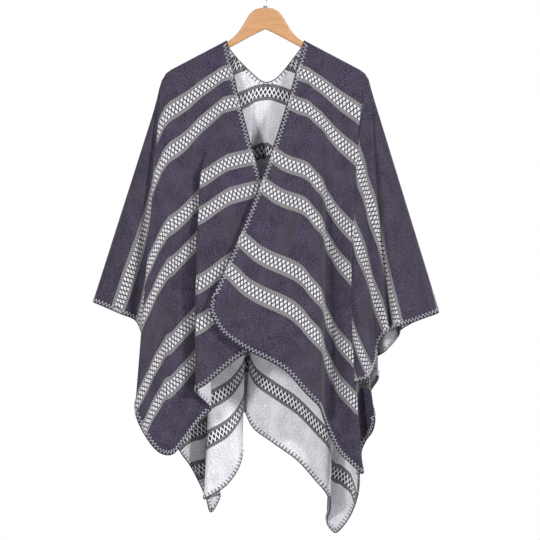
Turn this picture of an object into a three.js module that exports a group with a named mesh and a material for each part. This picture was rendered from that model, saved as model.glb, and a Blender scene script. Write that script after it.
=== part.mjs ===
// Ruana wrap on a wooden hanger
//
// A blanket cloth with an open front hangs over a flat wooden hanger with a wire hook.
// Millimetres, +Z up, the front faces -Y, +X is on the right as one looks at the front.
// The origin is the place inside the top of the hook where a rail carries the hanger.

import * as THREE from 'three';
import { mergeVertices } from 'three/addons/utils/BufferGeometryUtils.js';

// The cloth. Laid flat it is 1320 wide, 630 long in front of the shoulder line and 806 behind
// it, with round corners, open down the middle of the front and for 103 behind the shoulder.
const CLOTH_WALL = 1.6;
const SEAM_GAP = 0.3;

// The wooden hanger
const WOOD_THICKNESS = 12;
const WOOD_EDGE_ROUNDING = 4;
const WOOD_HALF_SPAN = 204;
const CLOTH_OVER_WOOD = 2.2;

// The hook
const WIRE_DIAMETER = 4;
const HOOK_RADIUS = 20;
const COLLAR_DIAMETER = 9;
const COLLAR_HEIGHT = 3;

// How far the cloth stands off the middle plane over the wood, and at the sleeve folds
const FOLD_RADIUS_ON_WOOD = 8.2;
const FOLD_RADIUS_ON_SLEEVE = 3;
const SLEEVE_STARTS_ACROSS = 140;
const SLEEVE_FOLD_ACROSS = 215;

// The share of each fold line from its top to the edge, at which the wall has a row
const ROWS_DOWN = [0, 0.002, 0.006, 0.0125, 0.035, 0.09, 0.18, 0.28, 0.38, 0.48, 0.58, 0.68, 0.78, 0.89, 1];
const COLUMN_SPACING = 27;

// Extra columns where the neck edge turns over the wood
const NECK_TURNS = [-9, -6, -3.5, -1.5, -0.4];

// The shoulder line: cloth distance from the front opening, then where it lies
const SHOULDER_COLUMNS = ['across', 'x', 'y', 'z'];
const SHOULDER_OVER_SIDE = [
  [-103, 1, 10, -222.5],
  [-95, 10, 10, -221],
  [-86, 19, 9, -217],
  [-76, 28, 8, -210],
  [-60, 41, 6, -196],
  [-38, 56, 4, -177],
  [-14, 75, 1, -152],
  [-8, 82.5, 0, -142],
  [0, 84, 0, -134],
  [133, 202, 0, -196],
  [147, 213, 0, -204],
  [162, 221, 0, -217],
  [182, 226, 0, -236],
  [215, 235, 0, -267],
];
const SHOULDER_UNDER_SIDE = [
  [-103, 1, 10, -222.5],
  [-96, -8, 10, -220],
  [-87, -17, 9, -214],
  [-74, -28, 8, -204],
  [-54, -43, 6, -190],
  [-32, -60, 3, -173],
  [-12, -77, 1, -152],
  [-8, -82.5, 0, -142],
  [0, -84, 0, -134],
  [133, -202, 0, -196],
  [147, -213, 0, -204],
  [162, -222, 0, -219],
  [182, -228, 0, -238],
  [215, -234, 0, -268],
];

// The folds: each row is a straight line from the shoulder line down to the edge of the cloth
// across   where it starts on the shoulder line
// edge     where it ends, as distance along the hem from the opening and then up the side edge
// x, y, z  where that end hangs
// bow      how far the middle of the line swings towards +X
const FOLD_COLUMNS = ['across', 'edge', 'x', 'y', 'z', 'bow'];
const OVER_FRONT_FOLDS = [
  [0, -49, -106, -58, -669, 15],  // front edge above the corner
  [0, 0, -118, -62, -706, 18],  // middle of the front corner
  [2, 49, -94, -64, -755, 22],  // hem at the front corner
  [3, 97, -53, -67, -787, 22],  // hem
  [6, 204, 40, -73, -837, 15],  // hem
  [17, 301, 87, -77, -888, 9],  // hem
  [34, 350, 113, -73, -914, 4],  // near edge of the soft fold
  [64, 419, 128, -26, -953, -4],  // far edge of the soft fold
  [95, 477, 154, -30, -1009, -11],  // hem
  [123, 529, 186, -56, -1041, -17],  // hem
  [144, 563, 206, -64, -1058, -22],  // near lip of the deep pleat
  [146, 596, 201, -26, -1026, -22],  // inside the deep pleat
  [147, 621, 212, -22, -994, -22],  // hem by the side corner
  [148, 662, 229, -39, -966, -22],  // middle of the side corner
  [150, 707, 232, -47, -936, -22],  // side edge by the corner
  [153, 785, 214, -9, -903, -22],  // side edge inside the pleat
  [155, 860, 188, -5, -880, -19],  // back of the pleat
  [157, 957, 192, -52, -863, -19],  // behind the lip of the sleeve
  [160, 995, 210, -64, -860, -19],  // near lip of the sleeve
  [164, 1054, 233, -30, -826, -15],  // side edge
  [170, 1101, 240, -13, -789, -11],  // valley
  [176, 1150, 261, -26, -757, -6],  // side edge
  [181, 1187, 270, -13, -755, -2],  // valley
  [185, 1219, 281, -39, -746, 0],  // lip
  [194, 1247, 306, -26, -740, 0],  // cuff
  [206, 1301, 349, -11, -725, 0],  // cuff
  [215, 1333, 373, 0, -716, 0],  // shoulder fold
];
const UNDER_FRONT_FOLDS = [
  [0, -49, 89, -34, -697, -17],  // front edge above the hidden corner
  [0, 0, 91, -37, -729, -15],  // middle of the hidden corner
  [2, 49, 61, -41, -751, -13],  // hem
  [4, 129, 5, -45, -779, -9],  // hem
  [13, 215, -59, -52, -813, -6],  // hem
  [30, 286, -128, -60, -869, -11],  // hem
  [37, 310, -146, -60, -880, -11],  // near lip of the knife pleat
  [39, 331, -143, -30, -893, -11],  // inside the pleat
  [43, 370, -117, -9, -923, 0],  // back of the pleat
  [49, 396, -128, -6, -934, 0],  // inside the pleat
  [62, 452, -149, -17, -957, 0],  // hem
  [90, 516, -177, -43, -994, 0],  // hem
  [118, 580, -199, -60, -1017, 0],  // hem by the side corner
  [140, 662, -223, -69, -1013, 0],  // middle of the side corner
  [153, 744, -253, -69, -979, 0],  // side edge by the corner
  [163, 830, -276, -64, -925, 0],  // near lip
  [167, 894, -263, -17, -888, 0],  // behind the lip
  [170, 955, -233, -5, -854, 0],  // back of the fold
  [174, 1015, -235, -34, -824, 0],  // side edge
  [178, 1066, -259, -52, -798, 0],  // near lip
  [182, 1118, -263, -17, -768, 0],  // lobe of the cuff
  [187, 1165, -278, -6, -734, 0],  // valley
  [196, 1208, -309, -26, -719, 0],  // cuff
  [206, 1264, -352, -13, -701, 0],  // cuff
  [215, 1292, -370, 0, -694, 0],  // shoulder fold
];
const BACK_OVER_SIDE_FOLDS = [
  [-103, 0, -46, 82, -934, 0],  // middle of the back
  [-99, 30, -29, 82, -942, 0],  // back of the centre recess
  [-92, 56, -44, 52, -929, 0],  // near lip of the recess
  [-77, 99, -27, 34, -966, 0],  // hem
  [-54, 172, 16, 22, -998, 0],  // hem
  [-2, 258, 70, 17, -1037, 0],  // hem
  [43, 322, 106, 17, -1077, 0],  // hem
  [71, 370, 132, 17, -1108, 0],  // near edge of the fold
  [84, 441, 140, 69, -1146, 0],  // fold running back
  [95, 520, 135, 108, -1181, 0],  // far edge of the fold
  [103, 613, 152, 99, -1200, 0],  // hem by the corner
  [110, 662, 167, 86, -1187, 0],  // middle of the corner
  [116, 712, 186, 73, -1157, 0],  // side edge by the corner
  [125, 774, 199, 52, -1118, 0],  // side edge
  [131, 828, 203, 26, -1065, 0],  // side edge
  [138, 924, 212, 73, -983, 0],  // side edge
  [142, 1032, 227, 103, -899, 0],  // back of the fold
  [148, 1118, 244, 30, -856, 0],  // lobe
  [153, 1187, 233, 90, -824, 0],  // back of the fold
  [161, 1264, 259, 26, -800, 0],  // side edge
  [170, 1329, 289, 77, -770, 0],  // back of the fold
  [183, 1359, 293, 22, -753, 0],  // side edge
  [198, 1389, 328, 30, -734, 0],  // cuff
  [211, 1415, 364, 11, -721, 0],  // cuff
  [215, 1423, 373, 0, -716, 0],  // shoulder fold
];
const BACK_UNDER_SIDE_FOLDS = [
  [-103, 0, -46, 82, -934, 0],  // middle of the back
  [-95, 47, -72, 86, -959, 0],  // hem
  [-86, 120, -124, 103, -992, 0],  // back of the centre recess
  [-75, 215, -53, 43, -1013, 0],  // near lip of the recess
  [-64, 249, -56, 32, -1047, 0],  // hem
  [-43, 307, -85, 19, -1090, 0],  // hem
  [-2, 370, -130, 17, -1118, 0],  // near lip of the pleat
  [9, 413, -128, 56, -1121, 0],  // inside the pleat
  [26, 494, -100, 112, -1121, 0],  // back of the pleat
  [47, 613, -111, 103, -1146, 0],  // hem by the corner
  [60, 662, -120, 97, -1155, 0],  // middle of the corner
  [71, 712, -130, 82, -1121, 0],  // side edge by the corner
  [86, 770, -160, 60, -1056, 0],  // side edge
  [99, 826, -190, 34, -1007, 0],  // side edge
  [116, 924, -201, 95, -938, 0],  // back of the fold
  [129, 1021, -235, 26, -880, 0],  // near edge of the fold
  [138, 1114, -227, 99, -824, 0],  // back of the fold
  [144, 1204, -257, 26, -772, 0],  // near edge of the fold
  [157, 1301, -283, 82, -725, 0],  // back of the fold
  [176, 1380, -326, 26, -708, 0],  // cuff
  [202, 1447, -358, 11, -697, 0],  // cuff
  [215, 1468, -370, 0, -694, 0],  // shoulder fold
];

function named(columns, rows) {
  return rows.map((row) => Object.fromEntries(columns.map((name, i) => [name, row[i]])));
}

function shoulderPoint(shoulder, across) {
  let i = 1;
  while (i < shoulder.length - 1 && across > shoulder[i].across) {
    i += 1;
  }
  const a = shoulder[i - 1];
  const b = shoulder[i];
  const share = (across - a.across) / (b.across - a.across);
  return new THREE.Vector3(a.x, a.y, a.z).lerp(new THREE.Vector3(b.x, b.y, b.z), share);
}

// One half panel of cloth: a column of points for each fold line and those between them
function clothColumns(shoulder, folds, side) {
  const foldEdge = folds[folds.length - 1].edge;
  const feet = new THREE.CatmullRomCurve3(folds.map((f) => new THREE.Vector3(f.x, f.y, f.z)));
  const columns = [];
  for (let i = 0; i < folds.length - 1; i += 1) {
    const a = folds[i];
    const b = folds[i + 1];
    const span = Math.hypot(b.x - a.x, b.y - a.y, b.z - a.z);
    const steps = Math.max(1, Math.round(span / COLUMN_SPACING));
    const last = i === folds.length - 2;
    const shares = [...Array(steps).keys()].map((k) => k / steps);
    if (last) {
      shares.push(0.85, 0.96, 1);
    }
    for (const turn of NECK_TURNS) {
      if (a.across < turn && turn < b.across) {
        shares.push((turn - a.across) / (b.across - a.across));
      }
    }
    shares.sort((one, other) => one - other);
    for (const share of shares) {
      const across = THREE.MathUtils.lerp(a.across, b.across, share);
      const edge = THREE.MathUtils.lerp(a.edge, b.edge, share);
      const bow = THREE.MathUtils.lerp(a.bow, b.bow, share);
      const foot = feet.getPoint((i + share) / (folds.length - 1));
      const top = shoulderPoint(shoulder, across);
      const onSleeve = THREE.MathUtils.smoothstep(across, SLEEVE_STARTS_ACROSS, SLEEVE_FOLD_ACROSS);
      const radius = THREE.MathUtils.lerp(FOLD_RADIUS_ON_WOOD, FOLD_RADIUS_ON_SLEEVE, onSleeve);
      const startBehind = Math.max(-across, 0);
      columns.push(ROWS_DOWN.map((t) => {
        const point = top.clone().lerp(foot, t);
        const down = THREE.MathUtils.lerp(startBehind, foldEdge - edge, t);
        const turned = Math.min(down / radius, 1);
        point.x += bow * 4 * t * (1 - t);
        point.y += side * (radius * Math.sqrt(1 - (1 - turned) ** 2) + SEAM_GAP / 2);
        return point;
      }));
    }
  }
  return columns;
}

// A closed wall of cloth about a net of points, kept on its own side of the shoulder seam
function clothWall(columns, side) {
  const across = columns.length;
  const down = columns[0].length;
  const positions = [];
  for (const face of [0.5, -0.5]) {
    for (let i = 0; i < across; i += 1) {
      for (let j = 0; j < down; j += 1) {
        const before = columns[Math.max(i - 1, 0)][j];
        const after = columns[Math.min(i + 1, across - 1)][j];
        const above = columns[i][Math.max(j - 1, 0)];
        const below = columns[i][Math.min(j + 1, down - 1)];
        const sideways = after.clone().sub(before);
        if (sideways.length() < 0.01) {
          sideways.copy(columns[Math.min(i + 1, across - 1)][down - 1]);
          sideways.sub(columns[Math.max(i - 1, 0)][down - 1]);
        }
        const normal = sideways.cross(below.clone().sub(above)).normalize();
        const point = columns[i][j].clone().addScaledVector(normal, face * CLOTH_WALL);
        point.y = side * Math.max(side * point.y, SEAM_GAP / 2);
        positions.push(point.x, point.y, point.z);
      }
    }
  }
  const back = across * down;
  const at = (i, j) => i * down + j;
  const indices = [];
  const quad = (a, b, c, d) => indices.push(a, b, c, a, c, d);
  for (let i = 0; i < across - 1; i += 1) {
    for (let j = 0; j < down - 1; j += 1) {
      quad(at(i, j), at(i, j + 1), at(i + 1, j + 1), at(i + 1, j));
      quad(back + at(i, j), back + at(i + 1, j), back + at(i + 1, j + 1), back + at(i, j + 1));
    }
  }
  for (let i = 0; i < across - 1; i += 1) {
    quad(at(i, 0), at(i + 1, 0), back + at(i + 1, 0), back + at(i, 0));
    quad(at(i + 1, down - 1), at(i, down - 1), back + at(i, down - 1), back + at(i + 1, down - 1));
  }
  for (let j = 0; j < down - 1; j += 1) {
    quad(at(0, j + 1), at(0, j), back + at(0, j), back + at(0, j + 1));
    quad(at(across - 1, j), at(across - 1, j + 1), back + at(across - 1, j + 1), back + at(across - 1, j));
  }
  const geometry = new THREE.BufferGeometry();
  geometry.setAttribute('position', new THREE.Float32BufferAttribute(positions, 3));
  geometry.setIndex(indices);
  return facingOut(mergeVertices(geometry, 0.001));
}

// Turns a closed body's faces outwards
function facingOut(geometry) {
  const position = geometry.getAttribute('position');
  const index = geometry.getIndex();
  const a = new THREE.Vector3();
  const b = new THREE.Vector3();
  const c = new THREE.Vector3();
  let volume = 0;
  for (let i = 0; i < index.count; i += 3) {
    a.fromBufferAttribute(position, index.getX(i));
    b.fromBufferAttribute(position, index.getX(i + 1));
    c.fromBufferAttribute(position, index.getX(i + 2));
    volume += a.dot(b.cross(c)) / 6;
  }
  if (volume < 0) {
    for (let i = 0; i < index.count; i += 3) {
      const first = index.getX(i);
      index.setX(i, index.getX(i + 2));
      index.setX(i + 2, first);
    }
  }
  geometry.computeVertexNormals();
  return geometry;
}

function mesh(name, geometry, color, roughness, metalness) {
  const piece = new THREE.Mesh(geometry, new THREE.MeshStandardMaterial({ color, roughness, metalness }));
  piece.name = name;
  return piece;
}

const ruana = new THREE.Group();
const overShoulder = named(SHOULDER_COLUMNS, SHOULDER_OVER_SIDE);
const underShoulder = named(SHOULDER_COLUMNS, SHOULDER_UNDER_SIDE);

// Front panel that lies on top at the middle, on the +X side
const overFront = clothColumns(
  overShoulder, named(FOLD_COLUMNS, OVER_FRONT_FOLDS), -1);
ruana.add(mesh('front_over', clothWall(overFront, -1), 0x585264, 0.95, 0));

// Front panel that runs in under the other one, on the -X side
const underFront = clothColumns(
  underShoulder, named(FOLD_COLUMNS, UNDER_FRONT_FOLDS), -1);
ruana.add(mesh('front_under', clothWall(underFront, -1), 0x585264, 0.95, 0));

// Back panel, whole from side to side, with the end of the opening at its neck
const backOver = clothColumns(
  overShoulder, named(FOLD_COLUMNS, BACK_OVER_SIDE_FOLDS), 1);
const backUnder = clothColumns(
  underShoulder, named(FOLD_COLUMNS, BACK_UNDER_SIDE_FOLDS), 1);
const wholeBack = [...backUnder.reverse(), ...backOver.slice(1)];
ruana.add(mesh('back', clothWall(wholeBack, 1), 0xc8c8ce, 0.95, 0));

// Hanger: a flat wooden crown and two arms, rounded along every edge
const WOOD_TOP = [
  [0, -61.5],
  [20.5, -66],
  [33, -75.5],
  [44, -92.9],
  [56, -112],
  [68, -125.5],
  [79, -133.8],
  [90, -139.7],
];
const ARM_SLOPE = 62 / 118;
const armTop = (x) => -134 - CLOTH_OVER_WOOD * Math.hypot(1, ARM_SLOPE) - (x - 84) * ARM_SLOPE;
const LOWER_APEX = -107;
const LOWER_SLOPE = 0.541;
const armBottom = (x) => LOWER_APEX - LOWER_SLOPE * x;
const armLength = Math.hypot(1, ARM_SLOPE);
const alongArm = new THREE.Vector2(1, -ARM_SLOPE).divideScalar(armLength);
const acrossArm = new THREE.Vector2(-ARM_SLOPE, -1).divideScalar(armLength);
const tipTop = new THREE.Vector2(WOOD_HALF_SPAN, armTop(WOOD_HALF_SPAN));
const tipHeight = (tipTop.y - armBottom(WOOD_HALF_SPAN)) / armLength;
const tipPoint = (along, across) => tipTop.clone()
  .addScaledVector(alongArm, along)
  .addScaledVector(acrossArm, across);
const rightHalf = [
  ...new THREE.SplineCurve(WOOD_TOP.map(([x, z]) => new THREE.Vector2(x, z))).getPoints(16),
  new THREE.Vector2(140, armTop(140)),
  tipPoint(-7, 0),
  tipPoint(0, 5),
  tipPoint(0, tipHeight - 5),
  tipPoint(-7, tipHeight),
  new THREE.Vector2(110, armBottom(110)),
  new THREE.Vector2(30, armBottom(30)),
  new THREE.Vector2(0, armBottom(3)),
];
const leftHalf = rightHalf.slice(1, -1).reverse().map((p) => new THREE.Vector2(-p.x, p.y));
const woodGeometry = new THREE.ExtrudeGeometry(new THREE.Shape([...rightHalf, ...leftHalf].reverse()), {
  depth: WOOD_THICKNESS - 2 * WOOD_EDGE_ROUNDING,
  bevelThickness: WOOD_EDGE_ROUNDING,
  bevelSize: WOOD_EDGE_ROUNDING,
  bevelOffset: -WOOD_EDGE_ROUNDING,
  bevelSegments: 3,
  steps: 1,
});
woodGeometry.translate(0, 0, -WOOD_THICKNESS / 2 + WOOD_EDGE_ROUNDING);
woodGeometry.rotateX(Math.PI / 2);
woodGeometry.deleteAttribute('normal');
woodGeometry.deleteAttribute('uv');
ruana.add(mesh('hanger_wood', facingOut(mergeVertices(woodGeometry, 0.001)), 0xc89a62, 0.5, 0));

// Collar: a small turned washer between the wood and the wire
const collarBottom = WOOD_TOP[0][1] + SEAM_GAP;
const collarGeometry = new THREE.CylinderGeometry(
  COLLAR_DIAMETER / 2, COLLAR_DIAMETER / 2, COLLAR_HEIGHT, 24);
collarGeometry.rotateX(Math.PI / 2);
collarGeometry.translate(0, 0, collarBottom + COLLAR_HEIGHT / 2);
ruana.add(mesh('hook_collar', collarGeometry, 0xb8b8bc, 0.35, 1));

// Hook: a round wire that rises from the collar and turns over to the -X side
const wireFoot = collarBottom + COLLAR_HEIGHT + SEAM_GAP;
const loopCentre = WIRE_DIAMETER / 2 - HOOK_RADIUS;
const HOOK_TURNS_FROM = -50;
const HOOK_TURNS_TO = 195;
const wirePoints = [new THREE.Vector3(0, 0, wireFoot), new THREE.Vector3(0, 0, wireFoot + 10)];
for (let angle = HOOK_TURNS_FROM; angle <= HOOK_TURNS_TO; angle += 17.5) {
  const turn = THREE.MathUtils.degToRad(angle);
  wirePoints.push(new THREE.Vector3(
    HOOK_RADIUS * Math.cos(turn), 0, loopCentre + HOOK_RADIUS * Math.sin(turn)));
}
const wireSection = new THREE.Shape();
wireSection.absarc(0, 0, WIRE_DIAMETER / 2, 0, 2 * Math.PI);
const hookGeometry = new THREE.ExtrudeGeometry(wireSection, {
  steps: 44,
  curveSegments: 5,
  bevelEnabled: false,
  extrudePath: new THREE.CatmullRomCurve3(wirePoints),
});
hookGeometry.deleteAttribute('normal');
hookGeometry.deleteAttribute('uv');
ruana.add(mesh('hook', facingOut(mergeVertices(hookGeometry, 0.001)), 0xb8b8bc, 0.3, 1));

export default ruana;
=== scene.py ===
# A ruana wrap on a wooden hanger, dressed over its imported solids.
# Metres, +Z up, the front faces -Y, and the origin is inside the top of the hook.

import math

import bmesh
import bpy
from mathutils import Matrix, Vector


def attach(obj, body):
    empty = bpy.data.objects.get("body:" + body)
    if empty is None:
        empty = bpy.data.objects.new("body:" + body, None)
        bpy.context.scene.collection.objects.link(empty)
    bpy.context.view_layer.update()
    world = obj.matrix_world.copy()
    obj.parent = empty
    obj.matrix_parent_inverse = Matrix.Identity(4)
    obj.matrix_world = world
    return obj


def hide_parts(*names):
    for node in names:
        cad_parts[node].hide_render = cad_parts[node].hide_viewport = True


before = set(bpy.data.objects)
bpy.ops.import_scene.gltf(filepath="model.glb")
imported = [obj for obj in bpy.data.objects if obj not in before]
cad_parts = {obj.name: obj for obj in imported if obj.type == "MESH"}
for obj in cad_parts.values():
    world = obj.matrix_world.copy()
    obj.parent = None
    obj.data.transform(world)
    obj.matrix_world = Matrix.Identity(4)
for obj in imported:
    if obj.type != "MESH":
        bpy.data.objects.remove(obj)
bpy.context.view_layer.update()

# Camera and light: a long lens square on to the wrap, as in the photograph. The soft light
# of a white studio comes from all round, with a lamp on each side of the camera and a weaker
# one behind the wrap. The pale floor lies well below the hems, because the wrap hangs.
camera_data = bpy.data.cameras.new("camera")
camera_data.lens = 180
camera_data.sensor_width = 36
camera = bpy.data.objects.new("camera", camera_data)
camera.location = (0.0097, -5.80, -0.626)
camera.rotation_euler = (math.radians(90), 0, 0)
bpy.context.scene.collection.objects.link(camera)
bpy.context.scene.camera = camera
bpy.context.scene.view_settings.view_transform = "Standard"

world = bpy.data.worlds.new("white_studio")
world.use_nodes = True
backdrop = world.node_tree.nodes["Background"]
backdrop.inputs["Color"].default_value = (1, 1, 1, 1)
BACKDROP_SEEN = 1.0
BACKDROP_LIGHT = 0.30
seen = world.node_tree.nodes.new("ShaderNodeLightPath")
strength = world.node_tree.nodes.new("ShaderNodeMapRange")
strength.inputs["To Min"].default_value = BACKDROP_LIGHT
strength.inputs["To Max"].default_value = BACKDROP_SEEN
world.node_tree.links.new(seen.outputs["Is Camera Ray"], strength.inputs["Value"])
world.node_tree.links.new(strength.outputs["Result"], backdrop.inputs["Strength"])
bpy.context.scene.world = world

WRAP_MIDDLE = Vector((0, 0, -0.6))
for name, place, size, power in (
    ("key_light", (2.4, -2.4, 0.8), 0.4, 108),
    ("fill_light", (-1.9, -2.8, 0.5), 0.5, 84),
    ("back_light", (1.4, 2.9, 1.1), 2.2, 75),
):
    light_data = bpy.data.lights.new(name, "AREA")
    light_data.size = size
    light_data.energy = power
    light = bpy.data.objects.new(name, light_data)
    light.location = place
    light.rotation_euler = (WRAP_MIDDLE - Vector(place)).to_track_quat("-Z", "Y").to_euler()
    bpy.context.scene.collection.objects.link(light)

FLOOR_RADIUS = 2.6
FLOOR_HEIGHT = -1.62
floor_mesh = bmesh.new()
bmesh.ops.create_circle(floor_mesh, cap_ends=True, segments=64, radius=FLOOR_RADIUS)
bmesh.ops.translate(floor_mesh, verts=floor_mesh.verts, vec=(0, 0, FLOOR_HEIGHT))
floor_data = bpy.data.meshes.new("floor")
floor_mesh.to_mesh(floor_data)
floor_mesh.free()
floor = bpy.data.objects.new("floor", floor_data)
bpy.context.scene.collection.objects.link(floor)
floor_material = bpy.data.materials.new("pale_floor")
floor_material.use_nodes = True
floor_shader = floor_material.node_tree.nodes["Principled BSDF"]
floor_shader.inputs["Base Color"].default_value = (0.9, 0.9, 0.9, 1)
floor_shader.inputs["Roughness"].default_value = 0.8
floor_data.materials.append(floor_material)


# Hanger wood: one flat board of pale natural lotus wood, sanded round along every edge and
# clear varnished. The grain runs along the board from tip to tip.
WOOD_PALE = (0.50, 0.275, 0.130, 1)
WOOD_BAND = (0.38, 0.182, 0.072, 1)
WOOD_PORE = (0.30, 0.14, 0.05, 1)
GRAIN_STRETCH = (4.0, 40.0, 60.0)
PORE_STRETCH = (18.0, 260.0, 420.0)


def new_material(name, roughness, metallic=0.0):
    material = bpy.data.materials.new(name)
    material.use_nodes = True
    shader = material.node_tree.nodes["Principled BSDF"]
    shader.inputs["Roughness"].default_value = roughness
    shader.inputs["Metallic"].default_value = metallic
    return material, material.node_tree, shader


def add_node(tree, kind, **values):
    node = tree.nodes.new(kind)
    for name, value in values.items():
        if name in node.inputs:
            node.inputs[name].default_value = value
        else:
            setattr(node, name, value)
    return node


def math_node(tree, operation, first, second=None, third=None, clamp=False):
    node = tree.nodes.new("ShaderNodeMath")
    node.operation = operation
    node.use_clamp = clamp
    for i, value in enumerate((first, second, third)):
        if value is None:
            continue
        if isinstance(value, (int, float)):
            node.inputs[i].default_value = value
        else:
            tree.links.new(value, node.inputs[i])
    return node.outputs[0]


def mix_colours(tree, share, first, second):
    node = tree.nodes.new("ShaderNodeMix")
    node.data_type = "RGBA"
    share_socket, first_socket, second_socket = (node.inputs[i] for i in (0, 6, 7))
    for socket, value in ((share_socket, share), (first_socket, first), (second_socket, second)):
        if isinstance(value, (int, float, tuple)):
            socket.default_value = value
        else:
            tree.links.new(value, socket)
    return node.outputs[2]


wood_material, wood_tree, wood_shader = new_material("varnished_wood", 0.42)
wood_place = add_node(wood_tree, "ShaderNodeTexCoord")
wood_stretch = add_node(wood_tree, "ShaderNodeMapping", Scale=GRAIN_STRETCH)
wood_tree.links.new(wood_place.outputs["Object"], wood_stretch.inputs["Vector"])
wood_grain = add_node(
    wood_tree, "ShaderNodeTexNoise", Scale=3.0, Detail=8.0, Roughness=0.62, Distortion=0.8)
wood_tree.links.new(wood_stretch.outputs["Vector"], wood_grain.inputs["Vector"])
wood_pores_stretch = add_node(wood_tree, "ShaderNodeMapping", Scale=PORE_STRETCH)
wood_tree.links.new(wood_place.outputs["Object"], wood_pores_stretch.inputs["Vector"])
wood_pores = add_node(wood_tree, "ShaderNodeTexNoise", Scale=3.0, Detail=2.0)
wood_tree.links.new(wood_pores_stretch.outputs["Vector"], wood_pores.inputs["Vector"])
wood_bands = add_node(wood_tree, "ShaderNodeMapRange", **{"From Min": 0.35, "From Max": 0.68})
wood_tree.links.new(wood_grain.outputs["Fac"], wood_bands.inputs["Value"])
wood_specks = add_node(wood_tree, "ShaderNodeMapRange", **{"From Min": 0.56, "From Max": 0.72})
wood_tree.links.new(wood_pores.outputs["Fac"], wood_specks.inputs["Value"])
wood_base = mix_colours(wood_tree, wood_bands.outputs[0], WOOD_PALE, WOOD_BAND)
wood_speck_share = math_node(wood_tree, "MULTIPLY", wood_specks.outputs[0], 0.45)
wood_colour = mix_colours(wood_tree, wood_speck_share, wood_base, WOOD_PORE)
wood_tree.links.new(wood_colour, wood_shader.inputs["Base Color"])
wood_rough = math_node(wood_tree, "MULTIPLY_ADD", wood_grain.outputs["Fac"], 0.2, 0.33)
wood_tree.links.new(wood_rough, wood_shader.inputs["Roughness"])
wood_bump = add_node(wood_tree, "ShaderNodeBump", Strength=0.25, Distance=0.0004)
wood_tree.links.new(wood_pores.outputs["Fac"], wood_bump.inputs["Height"])
wood_tree.links.new(wood_bump.outputs["Normal"], wood_shader.inputs["Normal"])
wood_shader.inputs["Coat Weight"].default_value = 0.25
wood_shader.inputs["Coat Roughness"].default_value = 0.3
hanger_wood = bpy.data.objects["hanger_wood"]
hanger_wood.data.materials.clear()
hanger_wood.data.materials.append(wood_material)


# Collar and hook: a small turned washer and a round plated steel wire that is screwed into
# the top of the board. The plating is a little mottled in its shine and its colour.
PLATING_DARK = (0.15, 0.15, 0.16, 1)
PLATING_LIGHT = (0.27, 0.27, 0.28, 1)
hook_material, hook_tree, hook_shader = new_material("plated_wire", 0.22, 1.0)
hook_place = add_node(hook_tree, "ShaderNodeTexCoord")
hook_noise = add_node(hook_tree, "ShaderNodeTexNoise", Scale=320.0, Detail=4.0)
hook_tree.links.new(hook_place.outputs["Object"], hook_noise.inputs["Vector"])
hook_colour = mix_colours(hook_tree, hook_noise.outputs["Fac"], PLATING_DARK, PLATING_LIGHT)
hook_tree.links.new(hook_colour, hook_shader.inputs["Base Color"])
hook_rough = math_node(hook_tree, "MULTIPLY_ADD", hook_noise.outputs["Fac"], 0.2, 0.12)
hook_tree.links.new(hook_rough, hook_shader.inputs["Roughness"])
for name in ("hook_collar", "hook"):
    bpy.data.objects[name].data.materials.clear()
    bpy.data.objects[name].data.materials.append(hook_material)


# Cloth: one double-woven jacquard blanket, dark slate purple outside and pale grey inside,
# with pairs of lattice stripes across it that change their colours from face to face. It is
# hung over the hanger's arms, and long folds run from the shoulders down to the edges.
HALF_WIDTH = 0.660
FRONT_LENGTH = 0.630
BACK_LENGTH = 0.806
CORNER_RADIUS = 0.049
CLOTH_THICKNESS = 0.0016
FOLD_RADIUS_ON_WOOD = 0.0082
FOLD_RADIUS_ON_SLEEVE = 0.003
SLEEVE_FROM = 0.140
SLEEVE_TO = 0.215

# across, x, y, z in millimetres: where the shoulder line lies, from the opening outwards
SHOULDER_OVER_SIDE = (
    (-103, 1, 10, -222.5),
    (-95, 10, 10, -221),
    (-86, 19, 9, -217),
    (-76, 28, 8, -210),
    (-60, 41, 6, -196),
    (-38, 56, 4, -177),
    (-14, 75, 1, -152),
    (-8, 82.5, 0, -142),
    (0, 84, 0, -134),
    (133, 202, 0, -196),
    (147, 213, 0, -204),
    (162, 221, 0, -217),
    (182, 226, 0, -236),
    (215, 235, 0, -267),
)
SHOULDER_UNDER_SIDE = (
    (-103, 1, 10, -222.5),
    (-96, -8, 10, -220),
    (-87, -17, 9, -214),
    (-74, -28, 8, -204),
    (-54, -43, 6, -190),
    (-32, -60, 3, -173),
    (-12, -77, 1, -152),
    (-8, -82.5, 0, -142),
    (0, -84, 0, -134),
    (133, -202, 0, -196),
    (147, -213, 0, -204),
    (162, -222, 0, -219),
    (182, -228, 0, -238),
    (215, -234, 0, -268),
)

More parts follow.
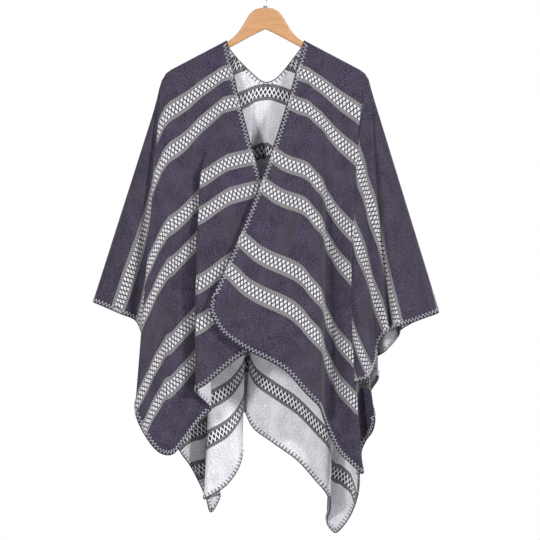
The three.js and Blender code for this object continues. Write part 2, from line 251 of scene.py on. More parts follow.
# across, edge, x, y, z, bow in millimetres: each fold from the shoulder line to the cloth's edge
OVER_FRONT_FOLDS = (
    (0, -49, -106, -58, -669, 15),  # front edge above the corner
    (0, 0, -118, -62, -706, 18),  # middle of the front corner
    (2, 49, -94, -64, -755, 22),  # hem at the front corner
    (3, 97, -53, -67, -787, 22),  # hem
    (6, 204, 40, -73, -837, 15),  # hem
    (17, 301, 87, -77, -888, 9),  # hem
    (34, 350, 113, -73, -914, 4),  # near edge of the soft fold
    (64, 419, 128, -26, -953, -4),  # far edge of the soft fold
    (95, 477, 154, -30, -1009, -11),  # hem
    (123, 529, 186, -56, -1041, -17),  # hem
    (144, 563, 206, -64, -1058, -22),  # near lip of the deep pleat
    (146, 596, 201, -26, -1026, -22),  # inside the deep pleat
    (147, 621, 212, -22, -994, -22),  # hem by the side corner
    (148, 662, 229, -39, -966, -22),  # middle of the side corner
    (150, 707, 232, -47, -936, -22),  # side edge by the corner
    (153, 785, 214, -9, -903, -22),  # side edge inside the pleat
    (155, 860, 188, -5, -880, -19),  # back of the pleat
    (157, 957, 192, -52, -863, -19),  # behind the lip of the sleeve
    (160, 995, 210, -64, -860, -19),  # near lip of the sleeve
    (164, 1054, 233, -30, -826, -15),  # side edge
    (170, 1101, 240, -13, -789, -11),  # valley
    (176, 1150, 261, -26, -757, -6),  # side edge
    (181, 1187, 270, -13, -755, -2),  # valley
    (185, 1219, 281, -39, -746, 0),  # lip
    (194, 1247, 306, -26, -740, 0),  # cuff
    (206, 1301, 349, -11, -725, 0),  # cuff
    (215, 1333, 373, 0, -716, 0),  # shoulder fold
)
UNDER_FRONT_FOLDS = (
    (0, -49, 89, -34, -697, -17),  # front edge above the hidden corner
    (0, 0, 91, -37, -729, -15),  # middle of the hidden corner
    (2, 49, 61, -41, -751, -13),  # hem
    (4, 129, 5, -45, -779, -9),  # hem
    (13, 215, -59, -52, -813, -6),  # hem
    (30, 286, -128, -60, -869, -11),  # hem
    (37, 310, -146, -60, -880, -11),  # near lip of the knife pleat
    (39, 331, -143, -30, -893, -11),  # inside the pleat
    (43, 370, -117, -9, -923, 0),  # back of the pleat
    (49, 396, -128, -6, -934, 0),  # inside the pleat
    (62, 452, -149, -17, -957, 0),  # hem
    (90, 516, -177, -43, -994, 0),  # hem
    (118, 580, -199, -60, -1017, 0),  # hem by the side corner
    (140, 662, -223, -69, -1013, 0),  # middle of the side corner
    (153, 744, -253, -69, -979, 0),  # side edge by the corner
    (163, 830, -276, -64, -925, 0),  # near lip
    (167, 894, -263, -17, -888, 0),  # behind the lip
    (170, 955, -233, -5, -854, 0),  # back of the fold
    (174, 1015, -235, -34, -824, 0),  # side edge
    (178, 1066, -259, -52, -798, 0),  # near lip
    (182, 1118, -263, -17, -768, 0),  # lobe of the cuff
    (187, 1165, -278, -6, -734, 0),  # valley
    (196, 1208, -309, -26, -719, 0),  # cuff
    (206, 1264, -352, -13, -701, 0),  # cuff
    (215, 1292, -370, 0, -694, 0),  # shoulder fold
)
BACK_OVER_SIDE_FOLDS = (
    (-103, 0, -46, 82, -934, 0),  # middle of the back
    (-99, 30, -29, 82, -942, 0),  # back of the centre recess
    (-92, 56, -44, 52, -929, 0),  # near lip of the recess
    (-77, 99, -27, 34, -966, 0),  # hem
    (-54, 172, 16, 22, -998, 0),  # hem
    (-2, 258, 70, 17, -1037, 0),  # hem
    (43, 322, 106, 17, -1077, 0),  # hem
    (71, 370, 132, 17, -1108, 0),  # near edge of the fold
    (84, 441, 140, 69, -1146, 0),  # fold running back
    (95, 520, 135, 108, -1181, 0),  # far edge of the fold
    (103, 613, 152, 99, -1200, 0),  # hem by the corner
    (110, 662, 167, 86, -1187, 0),  # middle of the corner
    (116, 712, 186, 73, -1157, 0),  # side edge by the corner
    (125, 774, 199, 52, -1118, 0),  # side edge
    (131, 828, 203, 26, -1065, 0),  # side edge
    (138, 924, 212, 73, -983, 0),  # side edge
    (142, 1032, 227, 103, -899, 0),  # back of the fold
    (148, 1118, 244, 30, -856, 0),  # lobe
    (153, 1187, 233, 90, -824, 0),  # back of the fold
    (161, 1264, 259, 26, -800, 0),  # side edge
    (170, 1329, 289, 77, -770, 0),  # back of the fold
    (183, 1359, 293, 22, -753, 0),  # side edge
    (198, 1389, 328, 30, -734, 0),  # cuff
    (211, 1415, 364, 11, -721, 0),  # cuff
    (215, 1423, 373, 0, -716, 0),  # shoulder fold
)
BACK_UNDER_SIDE_FOLDS = (
    (-103, 0, -46, 82, -934, 0),  # middle of the back
    (-95, 47, -72, 86, -959, 0),  # hem
    (-86, 120, -124, 103, -992, 0),  # back of the centre recess
    (-75, 215, -53, 43, -1013, 0),  # near lip of the recess
    (-64, 249, -56, 32, -1047, 0),  # hem
    (-43, 307, -85, 19, -1090, 0),  # hem
    (-2, 370, -130, 17, -1118, 0),  # near lip of the pleat
    (9, 413, -128, 56, -1121, 0),  # inside the pleat
    (26, 494, -100, 112, -1121, 0),  # back of the pleat
    (47, 613, -111, 103, -1146, 0),  # hem by the corner
    (60, 662, -120, 97, -1155, 0),  # middle of the corner
    (71, 712, -130, 82, -1121, 0),  # side edge by the corner
    (86, 770, -160, 60, -1056, 0),  # side edge
    (99, 826, -190, 34, -1007, 0),  # side edge
    (116, 924, -201, 95, -938, 0),  # back of the fold
    (129, 1021, -235, 26, -880, 0),  # near edge of the fold
    (138, 1114, -227, 99, -824, 0),  # back of the fold
    (144, 1204, -257, 26, -772, 0),  # near edge of the fold
    (157, 1301, -283, 82, -725, 0),  # back of the fold
    (176, 1380, -326, 26, -708, 0),  # cuff
    (202, 1447, -358, 11, -697, 0),  # cuff
    (215, 1468, -370, 0, -694, 0),  # shoulder fold
)


def blend(first, second, share):
    return first + (second - first) * share


def smooth_step(value, low, high):
    share = min(max((value - low) / (high - low), 0), 1)
    return share * share * (3 - 2 * share)


# A smooth curve through the points where the folds end, which doesn't loop at a sharp fold
def curve_point(points, i, share):
    p1, p2 = points[i], points[i + 1]
    p0 = points[i - 1] if i else p1 + (p1 - p2)
    p3 = points[i + 2] if i + 2 < len(points) else p2 + (p2 - p1)
    steps = [max((b - a).length ** 0.5, 1e-4) for a, b in ((p0, p1), (p1, p2), (p2, p3))]
    way0, way1, way2 = (p1 - p0) / steps[0], (p2 - p1) / steps[1], (p3 - p2) / steps[2]
    slope1 = (way0 - (p2 - p0) / (steps[0] + steps[1]) + way1) * steps[1]
    slope2 = (way1 - (p3 - p1) / (steps[1] + steps[2]) + way2) * steps[1]
    s2, s3 = share * share, share * share * share
    return (
        p1 * (2 * s3 - 3 * s2 + 1)
        + slope1 * (s3 - 2 * s2 + share)
        + p2 * (3 * s2 - 2 * s3)
        + slope2 * (s3 - s2)
    )


def shoulder_point(shoulder, across):
    i = 1
    while i < len(shoulder) - 1 and across > shoulder[i][0]:
        i += 1
    a, b = shoulder[i - 1], shoulder[i]
    share = (across - a[0]) / (b[0] - a[0])
    return Vector(a[1:]).lerp(Vector(b[1:]), share) / 1000


# Where a place on the cloth's border lies on the flat cloth: how far across and how far down
def border_point(edge, length, round_inner):
    r = CORNER_RADIUS
    if edge < r and round_inner:
        turn = (edge + r) / (2 * r) * math.pi / 2
        return r - r * math.cos(turn), length - r + r * math.sin(turn)
    if HALF_WIDTH - r < edge < HALF_WIDTH + r:
        turn = (edge - HALF_WIDTH + r) / (2 * r) * math.pi / 2
        return HALF_WIDTH - r + r * math.sin(turn), length - r + r * math.cos(turn)
    if edge <= HALF_WIDTH:
        return edge, length
    return HALF_WIDTH, HALF_WIDTH + length - edge


# The neck opening is cut behind the shoulder line, and its edge lies lower the further behind
SHOULDER_HEIGHT = -0.134
BEHIND_PER_DROP = 1.165
STATIONS = 240
DROP_SAMPLES = 40
STRIPE_LEVELS = [level * 0.020 for level in range(-3, 42)]


class HalfPanel:
    """Half a panel of hung cloth, told by how far across its folds and how far down them."""

    def __init__(self, shoulder, folds, length, side, round_inner, slack, flat_above=None):
        self.shoulder, self.folds, self.slack, self.flat_above = shoulder, folds, slack, flat_above
        self.length, self.side, self.round_inner = length, side, round_inner
        self.feet = [Vector(fold[2:5]) / 1000 for fold in folds]
        self.at = [0.0]
        for a, b, c, d in zip(folds, folds[1:], self.feet, self.feet[1:]):
            self.at.append(self.at[-1] + max((d - c).length, (b[1] - a[1]) / 1000 * 0.8, 0.004))
        self.width = self.at[-1]
        self.measure_stripes()

    def place(self, s, t):
        i = 0
        while i < len(self.folds) - 2 and s > self.at[i + 1]:
            i += 1
        share = (s - self.at[i]) / (self.at[i + 1] - self.at[i])
        a, b = self.folds[i], self.folds[i + 1]
        across, edge = blend(a[0], b[0], share) / 1000, blend(a[1], b[1], share) / 1000
        bow = blend(a[5], b[5], share) / 1000
        foot = curve_point(self.feet, i, share)
        top = shoulder_point(self.shoulder, across * 1000)
        flat = border_point(edge, self.length, self.round_inner)
        on_sleeve = smooth_step(across, SLEEVE_FROM, SLEEVE_TO)
        radius = blend(FOLD_RADIUS_ON_WOOD, FOLD_RADIUS_ON_SLEEVE, on_sleeve)
        behind = (SHOULDER_HEIGHT - top.z) * BEHIND_PER_DROP if across < 0 else 0
        down = blend(behind, flat[1], t)
        from_fold = blend(max(-across, 0), (self.folds[-1][1] / 1000 - edge), t)
        turned = min(max(from_fold / radius, 0), 1)
        point = top.lerp(foot, t)
        point.x += bow * 4 * t * (1 - t)
        point.y += self.side * radius * math.sqrt(1 - (1 - turned) ** 2)
        low = max([0] + [k for k in range(len(self.slack) - 1) if edge > self.slack[k][0]])
        (e0, k0), (e1, k1) = self.slack[low], self.slack[low + 1]
        slack = blend(k0, k1, min(max((edge - e0) / (e1 - e0), 0), 1))
        sag = down + flat[1] * slack * t * (1 - t)
        if self.flat_above:
            first, last, shut, open_at = self.flat_above
            if self.at[first] < s < self.at[last] and t < open_at:
                share = (s - self.at[first]) / (self.at[last] - self.at[first])
                start, end = (self.place(self.at[i], t)[0] for i in (first, last))
                point = start.lerp(end, share).lerp(point, smooth_step(t, shut, open_at))
        return point, sag

    # How far each stripe has run, over all the folds, by the time it comes to a fold line
    def measure_stripes(self):
        self.runs, self.ends, before = [], [], None
        for k in range(STATIONS + 1):
            s = self.width * k / STATIONS
            samples = [self.place(s, j / DROP_SAMPLES) for j in range(DROP_SAMPLES + 1)]
            falls = samples[-1][1] > samples[0][1]
            self.ends.append(samples[-1][1])
            row = []
            for level in STRIPE_LEVELS:
                if falls:
                    j = sum(sample[1] < level for sample in samples)
                elif level > 0:
                    j = DROP_SAMPLES + 1
                else:
                    j = sum(sample[1] > level for sample in samples)
                if j in (0, DROP_SAMPLES + 1):
                    row.append(samples[min(j, DROP_SAMPLES)][0])
                    continue
                (p0, v0), (p1, v1) = samples[j - 1], samples[j]
                row.append(p0.lerp(p1, (level - v0) / (v1 - v0)))
            if before is None:
                self.runs.append([0.0] * len(row))
            else:
                steps = ((p - q).length for p, q in zip(row, before))
                self.runs.append([run + step for run, step in zip(self.runs[-1], steps)])
            before = row

    # The run of a stripe at a station, where the cloth may end between two stripe levels
    def run_at(self, station, down):
        step = STRIPE_LEVELS[1] - STRIPE_LEVELS[0]
        j = int(min(max((down - STRIPE_LEVELS[0]) / step, 0), len(STRIPE_LEVELS) - 2))
        low, high, end = STRIPE_LEVELS[j], STRIPE_LEVELS[j + 1], self.ends[station]
        if low < end < high:
            low, high = (low, end) if end > 0 else (end, high)
        share = min(max((down - low) / (high - low), 0), 1)
        return blend(self.runs[station][j], self.runs[station][j + 1], share)

    def along_stripe(self, s, down):
        column = min(max(s / self.width * STATIONS, 0), STATIONS - 0.001)
        i = int(column)
        return blend(self.run_at(i, down), self.run_at(i + 1, down), column - i)


# The rows of the cloth's mesh lie closer together towards the shoulder
ROW_CROWDING = 1.35


def rows_down(count):
    return [(j / count) ** ROW_CROWDING for j in range(count + 1)]


# Soft ridges and troughs in the hung cloth, in millimetres on the flat cloth: across and down
# where one starts and ends, its half width and its height. They fade out towards both ends,
# towards the shoulder, and where the cloth turns away inside a fold.
CREASE_END_SHARE = 0.3
SHOULDER_FADE = (15, 70)
OVER_FRONT_CREASES = (
    (60, 110, 150, 500, 29, 6.6),
    (120, 70, 215, 260, 19, -4.8),
    (130, 205, 412, 615, 26, -8.5),
    (265, 90, 245, 330, 16, 5.3),
    (20, 262, 212, 600, 16, -5.0),
    (330, 210, 350, 400, 15, 4.0),
    (420, 60, 590, 75, 18, -4.8),
    (380, 120, 560, 130, 13, 3.5),
)
UNDER_FRONT_CREASES = (
    (55, 120, 120, 470, 26, 5.7),
    (150, 80, 175, 300, 18, -5.3),
    (190, 300, 255, 540, 24, 6.6),
    (270, 110, 330, 430, 22, -6.2),
    (250, 290, 512, 612, 33, -17.0),
    (430, 45, 600, 60, 20, 5.3),
    (360, 160, 520, 190, 14, -4.0),
)
BACK_CREASES = (
    (-430, 90, -520, 420, 26, 6.2),
    (-300, 120, -350, 610, 31, -3.5),
    (-170, 150, -210, 700, 26, 6.6),
    (90, 190, 130, 640, 29, 6.2),
    (230, 120, 290, 560, 24, -3.5),
    (360, 140, 430, 640, 29, 7.0),
    (520, 60, 600, 260, 20, -3.0),
    (-560, 50, -620, 240, 18, 4.4),
)


def crease_height(creases, across, down):
    height = 0
    for x0, y0, x1, y1, half_width, rise in creases:
        start, way = Vector((x0, y0)), Vector((x1 - x0, y1 - y0))
        off = Vector((across, down)) - start
        share = min(max(off.dot(way) / way.length_squared, 0), 1)
        ends = smooth_step(share, 0, CREASE_END_SHARE)
        ends *= 1 - smooth_step(share, 1 - CREASE_END_SHARE, 1)
        height += rise * ends * math.exp(-((off - way * share).length / half_width) ** 2)
    return height * smooth_step(down, *SHOULDER_FADE)


def cloth_mesh(name, halves, columns, rows, creases):
    total = sum(half.width for half in halves)
    grid = bmesh.new()
    bmesh.ops.create_grid(grid, x_segments=columns, y_segments=rows, size=0.5)
    uv_layer = grid.loops.layers.uv.new("cloth")
    downs = rows_down(rows)
    flat = {}
    for vert in grid.verts:
        s = (vert.co.x + 0.5) * total
        t = downs[round((0.5 - vert.co.y) * rows)]
        mirrored = len(halves) == 2 and s < halves[0].width
        half = halves[0] if mirrored else halves[-1]
        s = half.width - s if mirrored else s - (total - half.width)
        vert.co, down = half.place(s, t)
        run = half.along_stripe(s, down)
        flat[vert] = (-run if mirrored else run, -half.side * down)
    for face in grid.faces:
        face.smooth = True
        for loop in face.loops:
            loop[uv_layer].uv = flat[loop.vert]
    grid.normal_update()
    outwards = halves[0].side
    if sum(face.normal.y * face.calc_area() for face in grid.faces) * outwards < 0:
        bmesh.ops.reverse_faces(grid, faces=grid.faces)
        grid.normal_update()
    for vert, (run, level) in flat.items():
        facing = max(vert.normal.y * outwards, 0)
        lift = crease_height(creases, run * 1000, abs(level) * 1000) * facing ** 2
        vert.co += vert.normal * lift / 1000
    data = bpy.data.meshes.new(name)
    grid.to_mesh(data)
    grid.free()
    cloth = bpy.data.objects.new(name, data)
    bpy.context.scene.collection.objects.link(cloth)
    wall = cloth.modifiers.new("thickness", "SOLIDIFY")
    wall.thickness = CLOTH_THICKNESS
    wall.offset = 0
    wall.use_even_offset = False
    wall.material_offset = 1
    wall.material_offset_rim = 2
    return cloth


# How the stripes lie: pairs at an even spacing all along the cloth, each stripe with a lattice
# of diamonds in its middle and short rows of dashes along both sides of it.
PAIR_SPACING = 0.1935
FIRST_PAIR = 0.1055
STRIPE_FROM_PAIR = 0.0345
STRIPE_HALF = 0.0174
LATTICE_HALF = 0.0098
DIAMOND_WIDTH = 0.0096
DIAMOND_HALF = 0.0079
DASH_ROW = 0.0030
DASH_ROW_GAP = 0.00035
DASH_SHIFT = 0.0017
DASH_PITCH = 0.0021

stripes = bpy.data.node_groups.new("lattice_stripes", "ShaderNodeTree")
stripes.interface.new_socket("Cloth", in_out="INPUT", socket_type="NodeSocketVector")
stripes.interface.new_socket("Line Width", in_out="INPUT", socket_type="NodeSocketFloat")
stripes.interface.new_socket("Lattice", in_out="OUTPUT", socket_type="NodeSocketFloat")
stripes.interface.new_socket("Lines", in_out="OUTPUT", socket_type="NodeSocketFloat")
stripes.interface.new_socket("Border", in_out="OUTPUT", socket_type="NodeSocketFloat")
stripes.interface.new_socket("Dashes", in_out="OUTPUT", socket_type="NodeSocketFloat")
stripes_in = stripes.nodes.new("NodeGroupInput")
stripes_out = stripes.nodes.new("NodeGroupOutput")
split = add_node(stripes, "ShaderNodeSeparateXYZ")
stripes.links.new(stripes_in.outputs["Cloth"], split.inputs[0])
along, down = split.outputs["X"], split.outputs["Y"]


def calc(operation, first, second=None, third=None):
    return math_node(stripes, operation, first, second, third)


past_first = calc("SUBTRACT", down, FIRST_PAIR)
from_pair = calc("WRAP", past_first, PAIR_SPACING / 2, -PAIR_SPACING / 2)
from_stripe = calc("SUBTRACT", calc("ABSOLUTE", from_pair), STRIPE_FROM_PAIR)
off_middle = calc("ABSOLUTE", from_stripe)
in_lattice = calc("LESS_THAN", off_middle, LATTICE_HALF)
in_stripe = calc("LESS_THAN", off_middle, STRIPE_HALF)
in_border = calc("SUBTRACT", in_stripe, in_lattice)
zigzag = calc("PINGPONG", along, DIAMOND_WIDTH)
zigzag = calc("MULTIPLY_ADD", zigzag, 2 * DIAMOND_HALF / DIAMOND_WIDTH, -DIAMOND_HALF)
folded = calc("PINGPONG", off_middle, DIAMOND_HALF)
to_line = calc("ABSOLUTE", calc("SUBTRACT", folded, calc("ABSOLUTE", zigzag)))
on_line = calc("LESS_THAN", to_line, stripes_in.outputs["Line Width"])
row = calc("FLOOR", calc("DIVIDE", off_middle, DASH_ROW))
shifted = calc("MULTIPLY_ADD", row, DASH_SHIFT, along)
dash = calc("LESS_THAN", calc("PINGPONG", shifted, DASH_PITCH), DASH_PITCH / 2)
row_gap = calc("GREATER_THAN", calc("PINGPONG", off_middle, DASH_ROW / 2), DASH_ROW_GAP)
for name, value in (
    ("Lattice", in_lattice),
    ("Lines", on_line),
    ("Border", in_border),
    ("Dashes", calc("MULTIPLY", dash, row_gap)),
):
    stripes.links.new(value, stripes_out.inputs[name])

# The weave itself: a fine twill with heathered yarn, as masks of flecks and clouds, and as a
# height. Its long soft streaks down the cloth are painted fold shade as well as a browner tone.
YARN_STRETCH = (260.0, 620.0, 1.0)
STREAK_AND_SHADE_STRETCH = (22.0, 4.0, 1.0)
weave_and_fold_shade = bpy.data.node_groups.new("heather_weave_and_fold_shade", "ShaderNodeTree")
weave_and_fold_shade.interface.new_socket("Cloth", in_out="INPUT", socket_type="NodeSocketVector")
weave_and_fold_shade.interface.new_socket("Flecks", in_out="OUTPUT", socket_type="NodeSocketFloat")
weave_and_fold_shade.interface.new_socket("Clouds", in_out="OUTPUT", socket_type="NodeSocketFloat")
weave_and_fold_shade.interface.new_socket("Streaks", in_out="OUTPUT", socket_type="NodeSocketFloat")
weave_and_fold_shade.interface.new_socket("Height", in_out="OUTPUT", socket_type="NodeSocketFloat")
weave_in = weave_and_fold_shade.nodes.new("NodeGroupInput")
weave_out = weave_and_fold_shade.nodes.new("NodeGroupOutput")
yarn_stretch = add_node(weave_and_fold_shade, "ShaderNodeMapping", Scale=YARN_STRETCH)
weave_and_fold_shade.links.new(weave_in.outputs["Cloth"], yarn_stretch.inputs["Vector"])
flecks = add_node(weave_and_fold_shade, "ShaderNodeTexNoise", Scale=1.0, Detail=3.0, Roughness=0.7)
weave_and_fold_shade.links.new(yarn_stretch.outputs[0], flecks.inputs["Vector"])
clouds = add_node(weave_and_fold_shade, "ShaderNodeTexNoise", Scale=28.0, Detail=4.0, Roughness=0.6)
weave_and_fold_shade.links.new(weave_in.outputs["Cloth"], clouds.inputs["Vector"])
streak_and_shade_stretch = add_node(weave_and_fold_shade, "ShaderNodeMapping", Scale=STREAK_AND_SHADE_STRETCH)
weave_and_fold_shade.links.new(weave_in.outputs["Cloth"], streak_and_shade_stretch.inputs["Vector"])
streaks_and_shade = add_node(weave_and_fold_shade, "ShaderNodeTexNoise", Scale=1.0, Detail=3.0, Roughness=0.55)
weave_and_fold_shade.links.new(streak_and_shade_stretch.outputs[0], streaks_and_shade.inputs["Vector"])
streak_and_shade_mask = add_node(weave_and_fold_shade, "ShaderNodeMapRange", **{"From Min": 0.47, "From Max": 0.68})
weave_and_fold_shade.links.new(streaks_and_shade.outputs["Fac"], streak_and_shade_mask.inputs["Value"])
twill = add_node(weave_and_fold_shade, "ShaderNodeTexWave", Scale=210.0, Distortion=0.6, Detail=1.0)
twill.wave_type = "BANDS"
twill.bands_direction = "DIAGONAL"
weave_and_fold_shade.links.new(weave_in.outputs["Cloth"], twill.inputs["Vector"])
weave_height = math_node(weave_and_fold_shade, "MULTIPLY_ADD", twill.outputs["Fac"], 0.5, flecks.outputs["Fac"])
weave_and_fold_shade.links.new(flecks.outputs["Fac"], weave_out.inputs["Flecks"])
weave_and_fold_shade.links.new(clouds.outputs["Fac"], weave_out.inputs["Clouds"])
weave_and_fold_shade.links.new(streak_and_shade_mask.outputs[0], weave_out.inputs["Streaks"])
weave_and_fold_shade.links.new(weave_height, weave_out.inputs["Height"])

DARK_YARN = (0.005, 0.003, 0.010, 1)
DARK_YARN_LIT = (0.089, 0.074, 0.120, 1)
# The colour of the long streaks on the outer face: a browner yarn tone, and painted shade of soft
# folds
WARM_YARN_AND_FOLD_SHADE = (0.054, 0.042, 0.050, 1)
DEEP_YARN = (0.016, 0.012, 0.024, 1)
MARLED_YARN = (0.340, 0.330, 0.330, 1)
MARLED_YARN_SHADE = (0.062, 0.056, 0.068, 1)
PALE_YARN = (0.76, 0.76, 0.79, 1)
PALE_YARN_SHADE = (0.29, 0.29, 0.33, 1)
WHITE_YARN = (0.57, 0.57, 0.59, 1)
LINE_YARN = (0.045, 0.038, 0.055, 1)
CLOUD_SHARE = 0.8
STREAK_AND_SHADE_SHARE = 0.55


def cloth_material(
        name, ground, ground_fleck, streak_and_fold_shade, cell, line, border_dark, border_pale, line_width):
    material, tree, shader = new_material(name, 0.92)
    uv = add_node(tree, "ShaderNodeUVMap")
    uv.uv_map = "cloth"
    pattern = add_node(tree, "ShaderNodeGroup")
    pattern.node_tree = stripes
    pattern.inputs["Line Width"].default_value = line_width
    tree.links.new(uv.outputs[0], pattern.inputs["Cloth"])
    yarn = add_node(tree, "ShaderNodeGroup")
    yarn.node_tree = weave_and_fold_shade
    tree.links.new(uv.outputs[0], yarn.inputs["Cloth"])
    fleck_share = add_node(tree, "ShaderNodeMapRange", **{"From Min": 0.38, "From Max": 0.66})
    tree.links.new(yarn.outputs["Flecks"], fleck_share.inputs["Value"])
    cloud_share = math_node(
        tree, "MULTIPLY_ADD", yarn.outputs["Clouds"], CLOUD_SHARE, -CLOUD_SHARE / 2)
    ground_share = math_node(tree, "ADD", fleck_share.outputs[0], cloud_share, clamp=True)
    heather = mix_colours(tree, ground_share, ground, ground_fleck)
    # Long soft streaks down the cloth: painted shade of soft folds, together with a browner tone of
    # the yarn
    streak_and_shade_amount = math_node(tree, "MULTIPLY", yarn.outputs["Streaks"], STREAK_AND_SHADE_SHARE)
    ground_colour = mix_colours(tree, streak_and_shade_amount, heather, streak_and_fold_shade)
    border_colour = mix_colours(tree, pattern.outputs["Dashes"], border_dark, border_pale)
    lattice_colour = mix_colours(tree, pattern.outputs["Lines"], cell, line)
    with_border = mix_colours(tree, pattern.outputs["Border"], ground_colour, border_colour)
    colour = mix_colours(tree, pattern.outputs["Lattice"], with_border, lattice_colour)
    tree.links.new(colour, shader.inputs["Base Color"])
    raised = math_node(tree, "MULTIPLY_ADD", pattern.outputs["Dashes"], 0.5, yarn.outputs["Height"])
    bump = add_node(tree, "ShaderNodeBump", Strength=0.5, Distance=0.0006)
    tree.links.new(raised, bump.inputs["Height"])
    tree.links.new(bump.outputs["Normal"], shader.inputs["Normal"])
    shader.inputs["Sheen Weight"].default_value = 0.15
    shader.inputs["Sheen Roughness"].default_value = 0.5
    shader.inputs["Specular IOR Level"].default_value = 0.15
    return material


outer_cloth = cloth_material(
    "outer_cloth", DARK_YARN, DARK_YARN_LIT, WARM_YARN_AND_FOLD_SHADE, WHITE_YARN, LINE_YARN,
    MARLED_YARN_SHADE, MARLED_YARN, 0.0025)
reverse_cloth = cloth_material(
    "reverse_cloth", PALE_YARN, PALE_YARN_SHADE, PALE_YARN, LINE_YARN, PALE_YARN,
    DARK_YARN, MARLED_YARN, 0.0019)
edge_cloth = cloth_material(
    "edge_cloth", DARK_YARN, DEEP_YARN, DEEP_YARN, DARK_YARN, DARK_YARN,
    DARK_YARN, DEEP_YARN, 0.002)

# slack: how much further down the cloth a point lies than its share of the fold line.
# flat_above: the first and last fold between which the cloth lies flat down to a share of its
# drop, and the share at which the pleat there has opened.
over_front = HalfPanel(
    SHOULDER_OVER_SIDE, OVER_FRONT_FOLDS, FRONT_LENGTH, -1, True,
    ((0.0, 0.0), (0.25, 0.13), (0.36, 0.13), (0.56, 0.07), (0.8, 0.0), (0.98, -0.3), (1.24, -0.25)))
under_front = HalfPanel(
    SHOULDER_UNDER_SIDE, UNDER_FRONT_FOLDS, FRONT_LENGTH, -1, True,
    ((0.0, 0.02), (0.2, 0.14), (0.4, 0.14), (0.8, -0.03), (0.96, -0.12), (1.24, -0.12)),
    (4, 11, 0.26, 0.38))
back_over = HalfPanel(
    SHOULDER_OVER_SIDE, BACK_OVER_SIDE_FOLDS, BACK_LENGTH, 1, False, ((0.0, 0.0), (1.0, 0.0)))
back_under = HalfPanel(
    SHOULDER_UNDER_SIDE, BACK_UNDER_SIDE_FOLDS, BACK_LENGTH, 1, False, ((0.0, 0.0), (1.0, 0.0)))

cloth_front_over = cloth_mesh("cloth_front_over", [over_front], 190, 120, OVER_FRONT_CREASES)
cloth_front_under = cloth_mesh("cloth_front_under", [under_front], 180, 120, UNDER_FRONT_CREASES)
cloth_back = cloth_mesh("cloth_back", [back_under, back_over], 340, 130, BACK_CREASES)
for cloth, node, slot in (
    (cloth_front_over, "front_over", "cloth_outer"),
    (cloth_front_under, "front_under", "cloth_outer"),
    (cloth_back, "back", "cloth_reverse"),
):
    for material in (outer_cloth, reverse_cloth, edge_cloth):
        cloth.data.materials.append(material)
    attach(cloth, "root")
    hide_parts(node)

# Blanket stitch: thick two-coloured yarn that binds the whole edge of the cloth. A dark strand
# runs round the rim and bites into the reverse in short ticks. A pale strand zigzags over the
# outer face between the rim and the depth of the ticks.
STITCH_PITCH = 0.0084
STITCH_DEPTH = 0.0085
PALE_STRAND = 0.0013
RIM_STRAND = 0.0013
TICK_STRAND = 0.0008
ZIGZAG_FROM_RIM = 0.001
ZIGZAG_OVER_RIM = 0.0002
RIM_STRAND_OUT = 0.0004
EDGE_STEPS = 600
LOOK_ACROSS = 0.12
LOOK_DOWN = 0.03


# Walks along an edge of a half panel and gives each place with its inward and outward ways
def edge_places(half, mirror, start, end, spacing):
    shares = [k / EDGE_STEPS for k in range(EDGE_STEPS + 1)]
    walk = [(blend(start[0], end[0], share), blend(start[1], end[1], share)) for share in shares]
    points = [half.place(s, t)[0] for s, t in walk]
    along_foot = start[1] == end[1]
    places, gone, due = [], 0.0, 0.0
    for k in range(1, EDGE_STEPS + 1):
        step = (points[k] - points[k - 1]).length
        while gone + step > due and step > 0:
            share = (due - gone) / step
            s = blend(walk[k - 1][0], walk[k][0], share)
            t = blend(walk[k - 1][1], walk[k][1], share)
            rim = points[k - 1].lerp(points[k], share)
            if along_foot:
                further = half.place(s, t + LOOK_DOWN if t < 0.5 else t - LOOK_DOWN)[0]
            else:
                further = half.place(s + LOOK_ACROSS, t)[0]
            onward = (points[k] - points[k - 1]).normalized()
            outward = onward.cross(further - rim).normalized()
            inward = outward.cross(onward)
            outward *= mirror * -half.side * (-1 if along_foot and t < 0.5 else 1)
            places.append((rim, rim + inward * STITCH_DEPTH, inward, outward))
            due += spacing
        gone += step
    return places


def yarn_run(curve, points):
    spline = curve.splines.new("POLY")
    spline.points.add(len(points) - 1)
    for spot, point in zip(spline.points, points):
        spot.co = (*point, 1)


def yarn_mesh(name, runs, radius, resolution):
    curve = bpy.data.curves.new(name, "CURVE")
    curve.dimensions = "3D"
    curve.bevel_depth = radius
    curve.bevel_resolution = resolution
    curve.use_fill_caps = True
    for run in runs:
        yarn_run(curve, run)
    holder = bpy.data.objects.new(name, curve)
    bpy.context.scene.collection.objects.link(holder)
    settled = holder.evaluated_get(bpy.context.evaluated_depsgraph_get())
    data = bpy.data.meshes.new_from_object(settled)
    bpy.data.objects.remove(holder)
    bpy.data.curves.remove(curve)
    return data


def yarn_material(name, dark, pale):
    material, tree, shader = new_material(name, 0.9)
    place = add_node(tree, "ShaderNodeTexCoord")
    fibre = add_node(tree, "ShaderNodeTexNoise", Scale=900.0, Detail=2.0)
    tree.links.new(place.outputs["Object"], fibre.inputs["Vector"])
    tree.links.new(mix_colours(tree, fibre.outputs["Fac"], dark, pale), shader.inputs["Base Color"])
    bump = add_node(tree, "ShaderNodeBump", Strength=0.5, Distance=0.0003)
    tree.links.new(fibre.outputs["Fac"], bump.inputs["Height"])
    tree.links.new(bump.outputs["Normal"], shader.inputs["Normal"])
    shader.inputs["Sheen Weight"].default_value = 0.2
    shader.inputs["Specular IOR Level"].default_value = 0.15
    return material


pale_yarn = yarn_material("pale_stitch_yarn", (0.30, 0.30, 0.34, 1), (0.52, 0.52, 0.56, 1))
dark_yarn = yarn_material("dark_stitch_yarn", (0.012, 0.010, 0.018, 1), (0.05, 0.045, 0.06, 1))


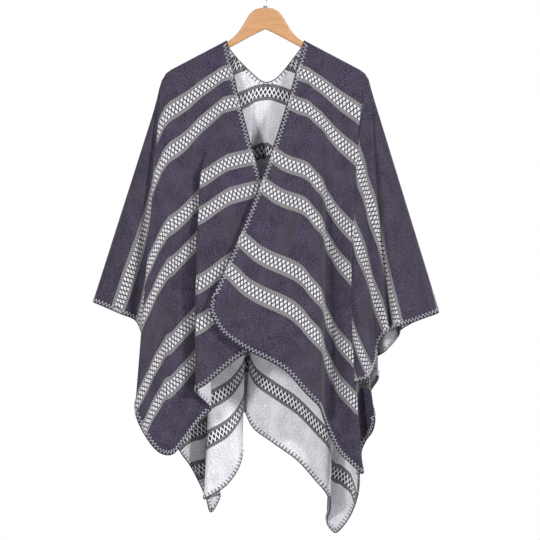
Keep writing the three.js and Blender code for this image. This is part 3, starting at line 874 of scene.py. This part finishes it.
def stitches(name, edges):
    pale_runs, dark_runs, ticks = [], [], []
    lift = CLOTH_THICKNESS / 2 + PALE_STRAND * 0.7
    for half, mirror, start, end in edges:
        places = edge_places(half, mirror, start, end, STITCH_PITCH / 2)
        zigzag, rim_run = [], []
        for k, (rim, inner, inward, outward) in enumerate(places):
            if k % 2:
                zigzag.append(inner + outward * lift)
                ticks.append([rim - outward * lift, inner - outward * lift])
            else:
                zigzag.append(rim + inward * ZIGZAG_FROM_RIM + outward * (lift + ZIGZAG_OVER_RIM))
            rim_run.append(rim - inward * RIM_STRAND_OUT)
        pale_runs.append(zigzag)
        dark_runs.append(rim_run)
    joined = bmesh.new()
    for runs, radius, resolution, slot in (
        (pale_runs, PALE_STRAND, 0, 0),
        (dark_runs, RIM_STRAND, 1, 1),
        (ticks, TICK_STRAND, 0, 1),
    ):
        first = len(joined.faces)
        part = yarn_mesh(name + "_strand", runs, radius, resolution)
        joined.from_mesh(part)
        joined.faces.ensure_lookup_table()
        for face in joined.faces[first:]:
            face.material_index = slot
            face.smooth = True
        bpy.data.meshes.remove(part)
    data = bpy.data.meshes.new(name)
    joined.to_mesh(data)
    joined.free()
    piece = bpy.data.objects.new(name, data)
    bpy.context.scene.collection.objects.link(piece)
    data.materials.append(pale_yarn)
    data.materials.append(dark_yarn)
    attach(piece, "root")
    return piece


# How far across a half panel's folds the neck edge ends and the shoulder line begins
def neck_end(half):
    i = next(k for k, fold in enumerate(half.folds) if fold[0] >= 0)
    a, b = half.folds[i - 1], half.folds[i]
    return blend(half.at[i - 1], half.at[i], -a[0] / (b[0] - a[0]))


stitches_over = stitches("stitches_front_over", [
    (over_front, 1, (0.0, 0.012), (0.0, 1.0)),
    (over_front, 1, (0.0, 1.0), (over_front.width, 1.0)),
])
stitches_under = stitches("stitches_front_under", [
    (under_front, -1, (0.0, 0.012), (0.0, 1.0)),
    (under_front, -1, (0.0, 1.0), (under_front.width, 1.0)),
])
stitches_back = stitches("stitches_back", [
    (back_over, 1, (0.0, 1.0), (back_over.width, 1.0)),
    (back_under, -1, (0.0, 1.0), (back_under.width, 1.0)),
    (back_over, 1, (0.0, 0.0), (neck_end(back_over), 0.0)),
    (back_under, -1, (0.0, 0.0), (neck_end(back_under), 0.0)),
])
